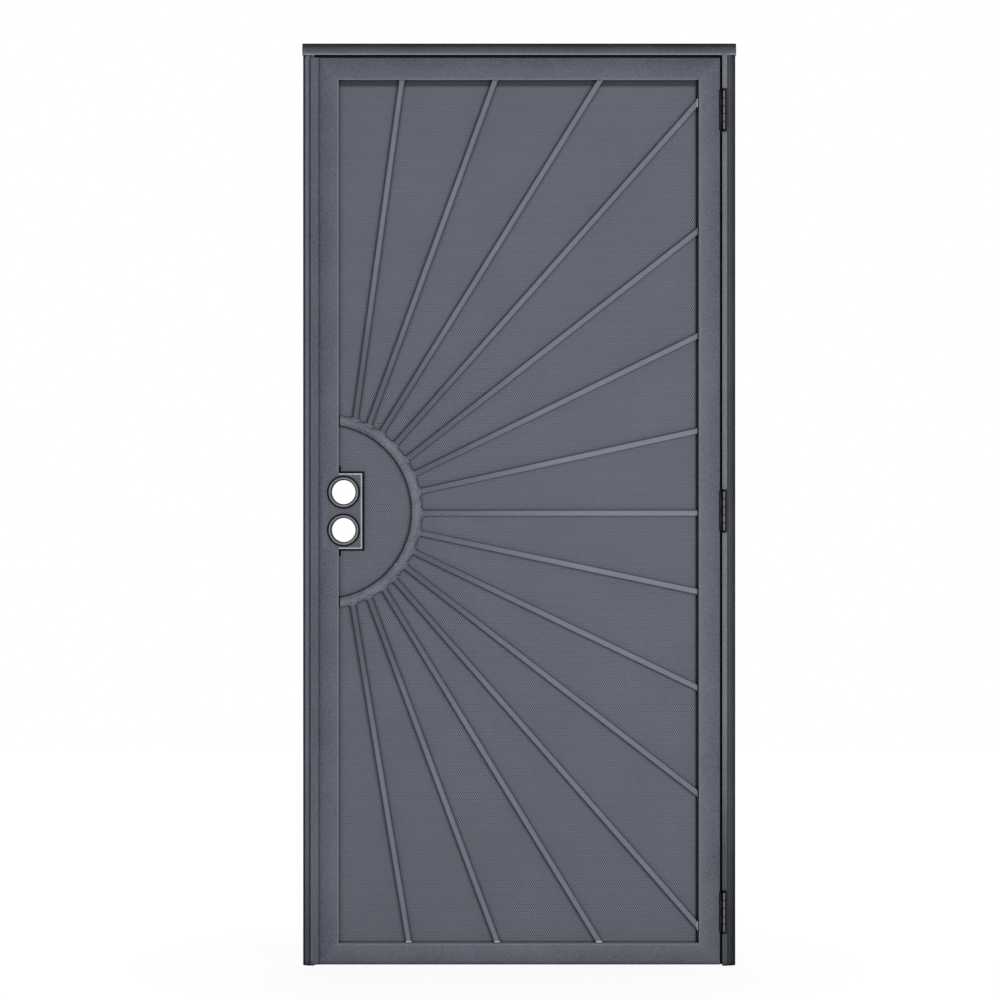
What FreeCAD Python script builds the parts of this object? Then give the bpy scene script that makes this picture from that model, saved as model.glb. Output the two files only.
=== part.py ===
import FreeCAD, Part
import Sketcher
import os
import re

# Steel security screen door: a sunburst grille leaf hung in a surface frame.
# Millimetres. The origin is on the wall face of the hinge jamb, at the foot, on its centre line.
# X runs to the right seen from outside, Y into the wall, Z up.

doc = FreeCAD.newDocument("security_screen_door")
sheet = doc.addObject("Spreadsheet::Sheet", "Sizes")

# Driving sizes
sizes = [
    ("frame_width", 971.5, "over the two jambs"),
    ("jamb_face", 26.2, "face of each jamb"),
    ("jamb_depth", 27, "jamb and header, wall to front"),
    ("jamb_wall", 1.6, "steel of the jambs, header and stop"),
    ("nose_radius", 18, "rounded outer front edge of the frame"),
    ("header_face", 27.4, "height of the header"),
    ("header_overhang", 1, "header past each jamb"),
    ("floor_gap", 3, "under the leaf"),
    ("leaf_height", 2032.7, "leaf"),
    ("header_gap", 7.3, "leaf to header"),
    ("strike_gap", 5.7, "leaf edge to strike jamb"),
    ("hinge_gap", 9.5, "leaf edge to hinge jamb"),
    ("leaf_proud", 5, "leaf face in front of the jamb face"),
    ("stop_overlap", 15, "stop behind the edge of the leaf"),
    ("tube_face", 49, "face of the stiles and rails"),
    ("tube_depth", 25.4, "leaf thickness"),
    ("tube_wall", 1.6, "steel of the stiles and rails"),
    ("tube_corner", 1.5, "rounded tube corner"),
    ("lip_width", 18.5, "lip that covers the strike gap"),
    ("lip_overlap", 4.5, "lip on the lock stile"),
    ("lip_thickness", 3, "flat bar of the lip"),
    ("bar_corner", 1, "rounded edge of the lip and strip"),
    ("strip_width", 11.5, "strip that covers the hinge gap"),
    ("strip_gap", 5, "strip to leaf edge"),
    ("strip_thickness", 3, "flat bar of the strip"),
    ("hinge_slot", 97, "break in the strip at a hinge"),
    ("hinge_rise", 117.5, "bottom hinge above the foot of the leaf"),
    ("hinge_drop", 116.7, "top hinge below the top of the leaf"),
    ("hinge_height", 88, "five knuckles"),
    ("knuckle_gap", 0.4, "between knuckles"),
    ("barrel_radius", 4.5, "hinge barrel"),
    ("pin_radius", 2.5, "hinge pin"),
    ("pin_play", 0.06, "radial play of the pin"),
    ("pin_head", 2, "pin head at each end"),
    ("pin_bevel", 1, "bevel of a pin head"),
    ("overcut", 1, "how far a cutter runs past what it cuts"),
    ("plate_thickness", 2.5, "hinge plates"),
    ("plate_depth", 18, "hinge plates, front to back"),
    ("axis_inset", 0.5, "hinge axis inside the jamb face line"),
    ("lock_height", 1019.5, "middle of the lock box"),
    ("box_height", 172.4, "lock box"),
    ("box_width", 89, "lock box"),
    ("box_reach", 54.2, "lock box past the lock stile"),
    ("box_wall", 2, "steel of the lock box"),
    ("bore_radius", 27, "lock bores"),
    ("bore_spacing", 85, "between lock bores"),
    ("backset", 60, "leaf edge to lock bores"),
    ("collar_radius", 33.3, "raised collar round a lock bore"),
    ("collar_height", 5, "collar above the lock box face"),
    ("collar_round", 1.8, "bevelled edge of a collar"),
    ("gasket_radius", 36.8, "seal round a collar"),
    ("gasket_thickness", 1.5, "seal on the lock box face"),
    ("latch_radius", 11.1, "latch holes in the leaf edge"),
    ("strike_height", 32, "latch slots in the strike jamb"),
    ("strike_width", 14, "latch slots, front to back"),
    ("strike_edge", 1.6, "latch slots behind the jamb face"),
    ("sun_height", 1018.5, "middle of the sunburst"),
    ("ring_inset", 31.7, "ring centre behind the stile edge"),
    ("ring_inner", 194.3, "inner radius of the ring"),
    ("ring_face", 23, "face of the ring"),
    ("hub_inset", 3.5, "point the rays run to, behind the stile edge"),
    ("ray_size", 12.7, "square tube of the rays and depth of the ring"),
    ("ray_wall", 1.2, "steel of the rays and ring"),
    ("ray_corner", 1.4, "rounded edge of the rays and ring"),
    ("sheet_thickness", 1, "perforated sheet"),
    ("sheet_gap", 0.5, "sheet edge to frame"),
    ("retainer_face", 12.7, "flat bars behind the sheet"),
]

# Rays: degrees above level, and how far each lies beside the point they run to
rays = [
    ("one", 82.2, -12.5),
    ("two", 69.9, -0.3),
    ("three", 58.2, 8.6),
    ("four", 48.5, 2.3),
    ("five", 38.1, -3.6),
    ("six", 26, 0),
    ("seven", 12.3, 5),
    ("eight", 0, -3.2),
    ("nine", -11.9, -9.7),
    ("ten", -25.6, -7.7),
    ("eleven", -37.8, -4.4),
    ("twelve", -48.8, -3.8),
    ("thirteen", -58.6, -1.5),
    ("fourteen", -69.6, -0.2),
    ("fifteen", -80.6, 0.7),
]
for word, tilt, slide in rays:
    sizes.append((f"tilt_{word}", tilt, "ray above level, degrees"))
    sizes.append((f"slide_{word}", slide, "ray beside the hub"))

# Positions that follow from them
places = [
    ("jamb_inner", "-jamb_face / 2"),
    ("strike_outer", "jamb_face / 2 - frame_width"),
    ("strike_inner", "strike_outer + jamb_face"),
    ("leaf_right", "jamb_inner - hinge_gap"),
    ("leaf_left", "strike_inner + strike_gap"),
    ("leaf_width", "leaf_right - leaf_left"),
    ("open_left", "leaf_left + tube_face"),
    ("open_right", "leaf_right - tube_face"),
    ("leaf_top", "floor_gap + leaf_height"),
    ("open_bottom", "floor_gap + tube_face"),
    ("open_top", "leaf_top - tube_face"),
    ("jamb_height", "leaf_top + header_gap"),
    ("hinge_low", "floor_gap + hinge_rise"),
    ("hinge_high", "leaf_top - hinge_drop"),
    ("hinge_mid", "(hinge_low + hinge_high) / 2"),
    ("leaf_front", "-jamb_depth - leaf_proud"),
    ("leaf_back", "leaf_front + tube_depth"),
    ("bar_front", "leaf_front + (tube_depth - ray_size) / 2"),
    ("bar_back", "bar_front + ray_size"),
    ("sheet_back", "bar_back + sheet_thickness"),
    ("axis_x", "jamb_inner - axis_inset"),
    ("axis_y", "leaf_front"),
    ("box_right", "open_left + box_reach"),
    ("box_left", "box_right - box_width"),
    ("box_bottom", "lock_height - box_height / 2"),
    ("box_top", "lock_height + box_height / 2"),
    ("bore_x", "leaf_left + backset"),
    ("bore_low", "lock_height - bore_spacing / 2"),
    ("bore_high", "lock_height + bore_spacing / 2"),
    ("leaf_middle", "(leaf_front + leaf_back) / 2"),
    ("slot_front", "strike_edge - jamb_depth"),
    ("ring_outer", "ring_inner + ring_face"),
    ("ring_x", "open_left - ring_inset"),
    ("hub_x", "open_left - hub_inset"),
    ("pitch", "hinge_height / 5"),
    ("knuckle", "pitch - knuckle_gap"),
    ("strip_left", "leaf_right + strip_gap"),
    ("inner_nose", "nose_radius - jamb_wall"),
]

row = 0
for name, value, meaning in sizes:
    row += 1
    sheet.set(f"A{row}", name)
    sheet.set(f"B{row}", str(value))
    sheet.set(f"C{row}", meaning)
    sheet.setAlias(f"B{row}", name)
for name, formula in places:
    row += 1
    sheet.set(f"A{row}", name)
    sheet.set(f"B{row}", "=" + formula)
    sheet.setAlias(f"B{row}", name)
doc.recompute()

aliases = {entry[0] for entry in sizes + places}


def cells(text):
    return re.sub(r"[a-z_]+", lambda m: "Sizes." + m[0] if m[0] in aliases else m[0], str(text))


def bind(item, **links):
    for prop, text in links.items():
        item.setExpression(prop.replace("__", "."), cells(text))
    return item


def at(item, x, y, z):
    return bind(item, Placement__Base__x=x, Placement__Base__y=y, Placement__Base__z=z)


def box(name, x, y, z):
    item = doc.addObject("Part::Box", name)
    bind(item, Length=f"({x[1]}) - ({x[0]})", Width=f"({y[1]}) - ({y[0]})", Height=f"({z[1]}) - ({z[0]})")
    return at(item, x[0], y[0], z[0])


def cylinder(name, radius, height, x, y, z, axis=(0, 0, 1), turn=0):
    item = doc.addObject("Part::Cylinder", name)
    item.Placement.Rotation = FreeCAD.Rotation(FreeCAD.Vector(*axis), turn)
    bind(item, Radius=radius, Height=height)
    return at(item, x, y, z)


def bore(name, radius, x, z, start, end):
    # A cylinder along Y
    return cylinder(name, radius, f"({end}) - ({start})", x, start, z, (1, 0, 0), -90)


def cut(name, base, tool):
    item = doc.addObject("Part::Cut", name)
    item.Base = base
    item.Tool = tool
    return item


def common(name, base, tool):
    item = doc.addObject("Part::Common", name)
    item.Base = base
    item.Tool = tool
    return item


def join(name, pieces):
    item = doc.addObject("Part::MultiFuse", name)
    item.Shapes = pieces
    item.Refine = True
    return item


def group(name, pieces):
    item = doc.addObject("Part::Compound", name)
    item.Links = pieces
    return item


tiny = 1e-6


def rounded(name, base, radius, wanted):
    # Round the edges that wanted(direction, outward) picks; direction is None for a curved edge
    doc.recompute()
    picked = []
    for number, edge in enumerate(base.Shape.Edges, 1):
        straight = isinstance(edge.Curve, (Part.Line, Part.LineSegment))
        direction = edge.tangentAt(edge.FirstParameter) if straight else None
        if wanted(direction, edge.CenterOfMass - base.Shape.BoundBox.Center):
            picked.append((number, sheet.get(radius), sheet.get(radius)))
    item = doc.addObject("Part::Fillet", name)
    item.Base = base
    item.Edges = picked
    return item


def along(axis, side=None):
    # Straight edges that run along an axis, on one side if that is given
    line = FreeCAD.Vector(*axis)
    face = FreeCAD.Vector(*side) if side else None

    def wanted(way, out):
        return bool(way) and way.cross(line).Length < tiny and (not face or out.dot(face) > tiny)

    return wanted


def beside(axis, nose):
    # The one edge along an axis at the corner that nose points to
    line = FreeCAD.Vector(*axis)
    signs = FreeCAD.Vector(*nose)

    def wanted(way, out):
        if not way or way.cross(line).Length > tiny:
            return False
        return all(side * reach >= 0 for side, reach in zip(signs, out))

    return wanted


def grow(span, inset):
    return (f"({span[0]}) + {inset}", f"({span[1]}) - {inset}")


parts = {}


def part(name, item):
    item.Label = name
    parts[name] = item


# Frame: two jambs and the header, formed hollow with a rounded outer front edge
depth = ("-jamb_depth", "0")
jamb_z = ("0", "jamb_height")


def frame_tube(name, x, z, axis, nose, ends):
    outer = rounded(name + "Nose", box(name + "Outer", x, depth, z), "nose_radius", beside(axis, nose))
    hollow_x = x if axis[0] and not ends else grow(x, "jamb_wall")
    hollow_z = z if axis[2] and not ends else grow(z, "jamb_wall")
    inner = box(name + "Inner", hollow_x, grow(depth, "jamb_wall"), hollow_z)
    return cut(name, outer, rounded(name + "Hollow", inner, "inner_nose", beside(axis, nose)))


hinge_x = ("jamb_inner", "jamb_face / 2")
part("hinge_jamb", frame_tube("HingeJamb", hinge_x, jamb_z, (0, 0, 1), (1, -1, 0), False))
strike_x = ("strike_outer", "strike_inner")
strike = frame_tube("StrikeJambTube", strike_x, jamb_z, (0, 0, 1), (-1, -1, 0), False)
slots = []
for place in ("low", "high"):
    slots.append(box(
        "StrikeSlot" + place.title(),
        ("strike_inner - 2 * jamb_wall", "strike_inner + overcut"),
        ("slot_front", "slot_front + strike_width"),
        (f"bore_{place} - strike_height / 2", f"bore_{place} + strike_height / 2"),
    ))
part("strike_jamb", cut("StrikeJamb", strike, group("StrikeSlots", slots)))
header_x = ("strike_outer - header_overhang", "jamb_face / 2 + header_overhang")
header_z = ("jamb_height", "jamb_height + header_face")
part("header", frame_tube("Header", header_x, header_z, (1, 0, 0), (0, -1, 1), True))

# Stop: flat bars against the wall that the leaf closes in front of
stop_y = ("-jamb_wall", "0")
stop_x = ("leaf_left + stop_overlap", "leaf_right - stop_overlap")
stops = [
    box("HingeStop", (stop_x[1], "jamb_inner"), stop_y, jamb_z),
    box("StrikeStop", ("strike_inner", stop_x[0]), stop_y, jamb_z),
    box("HeaderStop", stop_x, stop_y, ("leaf_top - stop_overlap", "jamb_height")),
]
part("door_stop", group("DoorStop", stops))

# Strip on the hinge jamb, broken at each hinge
strip_x = ("strip_left", "strip_left + strip_width")
strip_y = ("-jamb_depth - strip_thickness", "-jamb_depth")
breaks = ["0"]
for level in ("hinge_low", "hinge_mid", "hinge_high"):
    breaks += [f"{level} - hinge_slot / 2", f"{level} + hinge_slot / 2"]
breaks.append("jamb_height")
lengths = []
for number in range(4):
    span = (breaks[2 * number], breaks[2 * number + 1])
    length = box(f"StripBar{number + 1}", strip_x, strip_y, span)
    lengths.append(rounded(f"StripLength{number + 1}", length, "bar_corner", along((0, 0, 1), (0, -1, 0))))
part("hinge_strip", group("HingeStrip", lengths))

# Leaf frame: four mitred tubes
leaf_y = ("leaf_front", "leaf_back")
leaf_x = ("leaf_left", "leaf_right")
leaf_z = ("floor_gap", "leaf_top")


def mitred_tube(name, x, y, z, axis, run, corner, turn_axis, turn):
    outer = rounded(name + "Rounded", box(name + "Outer", x, y, z), "tube_corner", along(axis))
    spans = [span if lengthwise else grow(span, "tube_wall") for span, lengthwise in zip((x, y, z), axis)]
    tube = cut(name + "Tube", outer, box(name + "Hollow", *spans))
    mitre = doc.addObject("Part::Wedge", name + "Mitre")
    mitre.Placement.Rotation = FreeCAD.Rotation(FreeCAD.Vector(*turn_axis), turn)
    bind(mitre, Xmin="0", Xmax=run, Ymin="0", Ymax="tube_face", Zmin="0", Zmax="tube_depth")
    bind(mitre, X2min="tube_face", X2max=f"{run} - tube_face", Z2min="0", Z2max="tube_depth")
    at(mitre, *corner)
    return common(name, tube, mitre)


top_z = ("open_top", "leaf_top")
rail = mitred_tube("TopRail", leaf_x, leaf_y, top_z, (1, 0, 0), "leaf_width",
                   ("leaf_left", "leaf_front", "leaf_top"), (1, 0, 0), -90)
part("top_rail", rail)
bottom_z = ("floor_gap", "open_bottom")
rail = mitred_tube("BottomRail", leaf_x, leaf_y, bottom_z, (1, 0, 0), "leaf_width",
                   ("leaf_left", "leaf_back", "floor_gap"), (1, 0, 0), 90)
part("bottom_rail", rail)
stile = mitred_tube("HingeStile", ("open_right", "leaf_right"), leaf_y, leaf_z, (0, 0, 1), "leaf_height",
                    ("leaf_right", "leaf_back", "floor_gap"), (1, -1, 1), 120)
part("hinge_stile", stile)

# The lock stile is notched for the lock box and bored for two latches
stile = mitred_tube("LockStileTube", ("leaf_left", "open_left"), leaf_y, leaf_z, (0, 0, 1), "leaf_height",
                    ("leaf_left", "leaf_front", "floor_gap"), (1, 1, 1), 240)
box_z = ("box_bottom", "box_top")
notch = box("LockNotch", ("box_left", "open_left + overcut"), grow(leaf_y, "-overcut"), box_z)
latches = []
latch_reach = "box_left + 2 * box_wall - leaf_left + overcut"
for place in ("low", "high"):
    latches.append(cylinder("LatchHole" + place.title(), "latch_radius", latch_reach,
                            "leaf_left - overcut", "leaf_middle", f"bore_{place}", (0, 1, 0), 90))
latches = group("LatchHoles", latches)
part("lock_stile", cut("LockStile", cut("LockStileNotched", stile, notch), latches))

# Lock box: a welded shell, square where it lies in the stile and rounded where it stands free
reach_x = ("open_left", "box_right")
sides = rounded("LockBoxSides", box("LockBoxLong", reach_x, leaf_y, box_z), "tube_corner", along((1, 0, 0)))
end = rounded("LockBoxEnd", box("LockBoxTall", reach_x, leaf_y, box_z), "tube_corner",
              along((0, 0, 1), (1, 0, 0)))
fixed = box("LockBoxFixed", ("box_left", "open_left"), leaf_y, box_z)
shell = join("LockBoxShell", [common("LockBoxReach", sides, end), fixed])
hollow_x = ("box_left + box_wall", "box_right - box_wall")
void = box("LockBoxHollow", hollow_x, grow(leaf_y, "box_wall"), grow(box_z, "box_wall"))
bores = []
for place in ("low", "high"):
    bores.append(bore("LockBore" + place.title(), "bore_radius", "bore_x", f"bore_{place}",
                      *grow(leaf_y, "-overcut")))
openings = group("LockBores", bores)
bored = cut("LockBoxBored", cut("LockBoxEmpty", shell, void), openings)
part("lock_box", cut("LockBox", bored, latches))

# Raised collars round the lock bores, each in a rubber seal, outside and inside
collar_points = [
    ("bore_radius", "0"),
    ("collar_radius", "0"),
    ("collar_radius", "collar_height - collar_round"),
    ("collar_radius - collar_round", "collar_height"),
    ("bore_radius", "collar_height"),
]


def turned(name, points, axis, turn, place):
    # Revolve a closed outline; each corner is (radius, height along the axis)
    body = doc.addObject("PartDesign::Body", name)
    sketch = body.newObject("Sketcher::SketchObject", name + "Outline")
    sketch.AttachmentSupport = (doc.getObject(body.Origin.OriginFeatures[4].Name), [""])
    sketch.MapMode = "FlatFace"
    values = [[float(sketch.evalExpression(cells(t))) for t in point] for point in points]
    count = len(points)
    for number in range(count):
        start = FreeCAD.Vector(*values[number], 0)
        end = FreeCAD.Vector(*values[(number + 1) % count], 0)
        sketch.addGeometry(Part.LineSegment(start, end))
    for number in range(count):
        sketch.addConstraint(Sketcher.Constraint("Coincident", number, 2, (number + 1) % count, 1))
    for number in range(count):
        for kind, value, text in zip(("DistanceX", "DistanceY"), values[number], points[number]):
            index = sketch.addConstraint(Sketcher.Constraint(kind, -1, 1, number, 1, value))
            sketch.setExpression(f"Constraints[{index}]", cells(text))
    spin = body.newObject("PartDesign::Revolution", name + "Turned")
    spin.Profile = sketch
    spin.ReferenceAxis = (sketch, ["V_Axis"])
    spin.Angle = 360
    body.Placement.Rotation = FreeCAD.Rotation(FreeCAD.Vector(*axis), turn)
    return at(body, *place)


gasket_points = [
    ("collar_radius", "0"),
    ("gasket_radius", "0"),
    ("gasket_radius", "gasket_thickness / 2"),
    ("gasket_radius - gasket_thickness / 2", "gasket_thickness"),
    ("collar_radius", "gasket_thickness"),
]
seals = []
for place, label in (("low", "lower"), ("high", "upper")):
    rings = []
    for side, turn in (("front", 90), ("back", -90)):
        spot = ("bore_x", f"leaf_{side}", f"bore_{place}")
        name = place.title() + side.title()
        rings.append(turned("Collar" + name, collar_points, (1, 0, 0), turn, spot))
        seals.append(turned("Gasket" + name, gasket_points, (1, 0, 0), turn, spot))
    part(label + "_lock_collars", group("Collars" + place.title(), rings))
part("lock_gaskets", group("LockGaskets", seals))

# Lip on the lock stile that covers the strike gap
lip_x = ("leaf_left + lip_overlap - lip_width", "leaf_left + lip_overlap")
lip = box("LipBar", lip_x, ("leaf_front - lip_thickness", "leaf_front"), leaf_z)
part("strike_lip", rounded("Lip", lip, "bar_corner", along((0, 0, 1), (0, -1, 0))))

# Sunburst: a half ring on the lock stile and fifteen rays out to the frame
bar_y = ("bar_front", "bar_back")
opening = box("LeafOpening", ("open_left", "open_right"), leaf_y, ("open_bottom", "open_top"))
disc = bore("RingOuter", "ring_outer", "ring_x", "sun_height", *bar_y)
hole = bore("RingInner", "ring_inner", "ring_x", "sun_height", *bar_y)
inside = grow(bar_y, "ray_wall")
void = cut(
    "RingHollow",
    bore("RingHollowOuter", "ring_outer - ray_wall", "ring_x", "sun_height", *inside),
    bore("RingHollowInner", "ring_inner + ray_wall", "ring_x", "sun_height", *inside),
)
solid = rounded("RingRounded", cut("RingSolid", disc, hole), "ray_corner", lambda way, out: not way)
ring = cut("RingTube", solid, void)
part("sun_ring", common("SunRing", ring, opening))

start_tilt = 45  # any turn that isn't zero: it sets the axis, and the tilt's cell then sets the angle


def ray_bar(name, word, size, wall):
    # A bar from beside the hub, turned up by its tilt and centred on its line
    tilt = "tilt_" + word
    item = doc.addObject("Part::Box", name)
    item.Placement.Rotation = FreeCAD.Rotation(FreeCAD.Vector(0, -1, 0), start_tilt)
    bind(item, Length="leaf_height", Width=size, Height=size, Placement__Rotation__Angle=tilt)
    aside = f"(({size}) / 2 - slide_{word})"
    x, z = f"hub_x + {aside} * sin({tilt})", f"sun_height - {aside} * cos({tilt})"
    return at(item, x, f"bar_front + {wall}", z)


for number, (word, tilt, slide) in enumerate(rays, 1):
    name = f"Ray{number:02d}"
    bar = ray_bar(name + "Bar", word, "ray_size", "0")
    doc.recompute()
    line = tuple(bar.Placement.Rotation.multVec(FreeCAD.Vector(1, 0, 0)))
    solid = rounded(name + "Outer", bar, "ray_corner", along(line))
    void = ray_bar(name + "Hollow", word, "ray_size - 2 * ray_wall", "ray_wall")
    trimmed = common(name + "Trimmed", cut(name + "Tube", solid, void), opening)
    part(f"ray_{number:02d}", cut(name, trimmed, disc))

# Perforated sheet behind the rays, cut round the lock box, and the bars that hold it
sheet_y = ("bar_back", "sheet_back")
panel = box("SheetWhole", grow(("open_left", "open_right"), "sheet_gap"), sheet_y,
            grow(("open_bottom", "open_top"), "sheet_gap"))
clear = box("SheetNotch", ("open_left", "box_right + sheet_gap"), leaf_y,
            ("box_bottom - sheet_gap", "box_top + sheet_gap"))
part("perforated_sheet", cut("Sheet", panel, clear))

retainer_y = ("sheet_back", "leaf_back")
across = ("open_left", "open_right")
part("top_retainer", box("TopRetainer", across, retainer_y, ("open_top - retainer_face", "open_top")))
low_bar = ("open_bottom", "open_bottom + retainer_face")
part("bottom_retainer", box("BottomRetainer", across, retainer_y, low_bar))
upright = ("open_bottom + retainer_face", "open_top - retainer_face")
hinge_bar = ("open_right - retainer_face", "open_right")
part("hinge_retainer", box("HingeRetainer", hinge_bar, retainer_y, upright))
lock_bar = ("open_left", "open_left + retainer_face")
below = box("LockRetainerLow", lock_bar, retainer_y, (upright[0], "box_bottom"))
above = box("LockRetainerHigh", lock_bar, retainer_y, ("box_top", upright[1]))
part("lock_retainer", group("LockRetainer", [below, above]))

# Hinges: frame half, leaf half and pin at three heights
pin_points = [
    ("0", "0"),
    ("barrel_radius - pin_bevel", "0"),
    ("barrel_radius", "pin_bevel"),
    ("barrel_radius", "pin_head"),
    ("pin_radius", "pin_head"),
    ("pin_radius", "pin_head + hinge_height + knuckle_gap"),
    ("barrel_radius", "pin_head + hinge_height + knuckle_gap"),
    ("barrel_radius", "2 * pin_head + hinge_height + knuckle_gap - pin_bevel"),
    ("barrel_radius - pin_bevel", "2 * pin_head + hinge_height + knuckle_gap"),
    ("0", "2 * pin_head + hinge_height + knuckle_gap"),
]
for level, label in (("hinge_low", "lower"), ("hinge_mid", "middle"), ("hinge_high", "upper")):
    name = label.title() + "Hinge"
    foot = f"{level} - hinge_height / 2"
    whole = (foot, f"{level} + hinge_height / 2")
    pin_hole = cylinder(name + "PinHole", "pin_radius + pin_play", "hinge_height + 2 * overcut",
                        "axis_x", "axis_y", f"{foot} - overcut")
    frame_side = [box(name + "FramePlate", ("jamb_inner - plate_thickness", "jamb_inner"),
                      ("-jamb_depth", "plate_depth - jamb_depth"), whole)]
    leaf_side = [box(name + "LeafPlate", ("leaf_right", "leaf_right + plate_thickness"),
                     ("axis_y + tube_corner", "axis_y + tube_corner + plate_depth"), whole)]
    for number in range(5):
        start = f"{foot} + {number} * pitch + knuckle_gap / 2"
        span = (start, f"{start} + knuckle")
        barrel = cylinder(f"{name}Knuckle{number + 1}", "barrel_radius", "knuckle",
                          "axis_x", "axis_y", start)
        if number % 2 == 0:
            web = box(f"{name}Web{number + 1}", ("jamb_inner - plate_thickness", "jamb_inner"),
                      ("axis_y", "-jamb_depth"), span)
            frame_side += [barrel, web]
        else:
            strap = box(f"{name}Strap{number + 1}", ("leaf_right", "axis_x"),
                        ("axis_y + tube_corner", "axis_y + barrel_radius"), span)
            leaf_side += [barrel, strap]
    frame_half = join(name + "FrameSide", frame_side)
    part(f"{label}_hinge_frame_half", cut(name + "FrameHalf", frame_half, pin_hole))
    leaf_half = join(name + "LeafSide", leaf_side)
    part(f"{label}_hinge_leaf_half", cut(name + "LeafHalf", leaf_half, pin_hole))
    pin_foot = ("axis_x", "axis_y", f"{foot} - pin_head - knuckle_gap / 2")
    pin = turned(name + "Pin", pin_points, (1, 0, 0), 0, pin_foot)
    part(f"{label}_hinge_pin", pin)

doc.recompute()

# Check every object, then write one file for each part
for item in doc.Objects:
    if "Invalid" in item.State or "Error" in item.State:
        raise RuntimeError(f"{item.Label} did not compute: {item.State}")
os.makedirs("parts", exist_ok=True)
for name, item in parts.items():
    shape = item.Shape
    if shape.isNull() or not shape.isValid() or not shape.Solids:
        raise RuntimeError(f"{name} has no valid solid")
    shape.exportStep(f"parts/{name}.step")
    print(name, len(shape.Solids), round(shape.Volume))
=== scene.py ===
import math
import bpy
from mathutils import Matrix, Vector


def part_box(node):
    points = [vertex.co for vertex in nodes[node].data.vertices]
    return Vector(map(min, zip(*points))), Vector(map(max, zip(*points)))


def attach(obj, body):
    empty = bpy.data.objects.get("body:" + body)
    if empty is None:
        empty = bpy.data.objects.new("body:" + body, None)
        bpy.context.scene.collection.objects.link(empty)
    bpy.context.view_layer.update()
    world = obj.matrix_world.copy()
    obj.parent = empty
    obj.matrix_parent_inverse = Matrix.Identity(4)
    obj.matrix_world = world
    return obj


# Steel security screen door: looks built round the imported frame, in metres
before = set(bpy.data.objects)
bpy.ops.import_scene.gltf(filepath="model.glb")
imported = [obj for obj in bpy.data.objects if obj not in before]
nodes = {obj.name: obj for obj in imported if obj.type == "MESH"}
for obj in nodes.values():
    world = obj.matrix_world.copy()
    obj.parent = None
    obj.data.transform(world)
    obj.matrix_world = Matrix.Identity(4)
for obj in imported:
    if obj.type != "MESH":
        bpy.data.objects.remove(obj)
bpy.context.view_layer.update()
bpy.ops.object.select_all(action="DESELECT")
print("frame loaded:", len(nodes), "nodes")

# Lines of the door, read from the frame
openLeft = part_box("lock_stile")[1].x
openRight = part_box("hinge_stile")[0].x
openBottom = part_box("bottom_rail")[1].z
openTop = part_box("top_rail")[0].z
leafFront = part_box("hinge_stile")[0].y
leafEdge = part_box("hinge_stile")[1].x
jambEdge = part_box("hinge_jamb")[0].x
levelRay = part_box("ray_08")
barFront, barBack = levelRay[0].y, levelRay[1].y
rayHalf = (levelRay[1].z - levelRay[0].z) / 2
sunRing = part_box("sun_ring")
sunHeight = (sunRing[0].z + sunRing[1].z) / 2
sunburst = {
    # degrees above level, and millimetres beside the hub
    "rays": ((82.2, -12.5), (69.9, -0.3), (58.2, 8.6), (48.5, 2.3), (38.1, -3.6), (26, 0), (12.3, 5), (0, -3.2),
             (-11.9, -9.7), (-25.6, -7.7), (-37.8, -4.4), (-48.8, -3.8), (-58.6, -1.5), (-69.6, -0.2), (-80.6, 0.7)),
    "hubInset": 0.0035, "ringInset": 0.0317, "ringFace": 0.023,
}
hub = Vector((openLeft - sunburst["hubInset"], sunHeight))
ringCentre = Vector((openLeft - sunburst["ringInset"], sunHeight))
ringOuter = sunRing[1].x - ringCentre.x
ringInner = ringOuter - sunburst["ringFace"]
boxLow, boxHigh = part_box("lock_box")
lockMiddle = (boxLow.z + boxHigh.z) / 2
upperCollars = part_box("upper_lock_collars")
boreLine = (upperCollars[0].x + upperCollars[1].x) / 2
boreRise = (upperCollars[0].z + upperCollars[1].z) / 2 - lockMiddle
headerFoot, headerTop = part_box("header")[0].z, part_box("header")[1].z
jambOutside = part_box("hinge_jamb")[1].x
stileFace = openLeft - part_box("lock_stile")[0].x
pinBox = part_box("middle_hinge_pin")
pinLine = (pinBox[0].x + pinBox[1].x) / 2
hingeNames = ("lower", "middle", "upper")
barrels = [tuple(corner.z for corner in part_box(label + "_hinge_frame_half")) for label in hingeNames]
knuckles = 5
knuckleStep = (barrels[0][1] - barrels[0][0]) / knuckles
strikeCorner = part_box("strike_jamb")[0]
strikeOutside, strikeFront = strikeCorner.x, strikeCorner.y
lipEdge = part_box("strike_lip")[0].x


class Wire:
    # one socket in a node tree; sums on it add Math nodes
    def __init__(self, tree, socket=None):
        self.tree = tree
        self.socket = socket

    def node(self, kind, settings=None, inputs=None, output=0):
        made = self.tree.nodes.new(kind)
        for name, value in (settings or {}).items():
            setattr(made, name, value)
        for name, value in (inputs or {}).items():
            if isinstance(value, Wire):
                self.tree.links.new(value.socket, made.inputs[name])
            else:
                made.inputs[name].default_value = value
        return Wire(self.tree, made.outputs[output]) if made.outputs else None

    def math(self, operation, *values):
        return self.node("ShaderNodeMath", {"operation": operation}, dict(enumerate(values)))

    def __add__(self, other):
        return self.math("ADD", self, other)

    def __radd__(self, other):
        return self.math("ADD", other, self)

    def __sub__(self, other):
        return self.math("SUBTRACT", self, other)

    def __rsub__(self, other):
        return self.math("SUBTRACT", other, self)

    def __mul__(self, other):
        return self.math("MULTIPLY", self, other)

    def __rmul__(self, other):
        return self.math("MULTIPLY", other, self)

    def __truediv__(self, other):
        return self.math("DIVIDE", self, other)

    def __rtruediv__(self, other):
        return self.math("DIVIDE", other, self)


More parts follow.
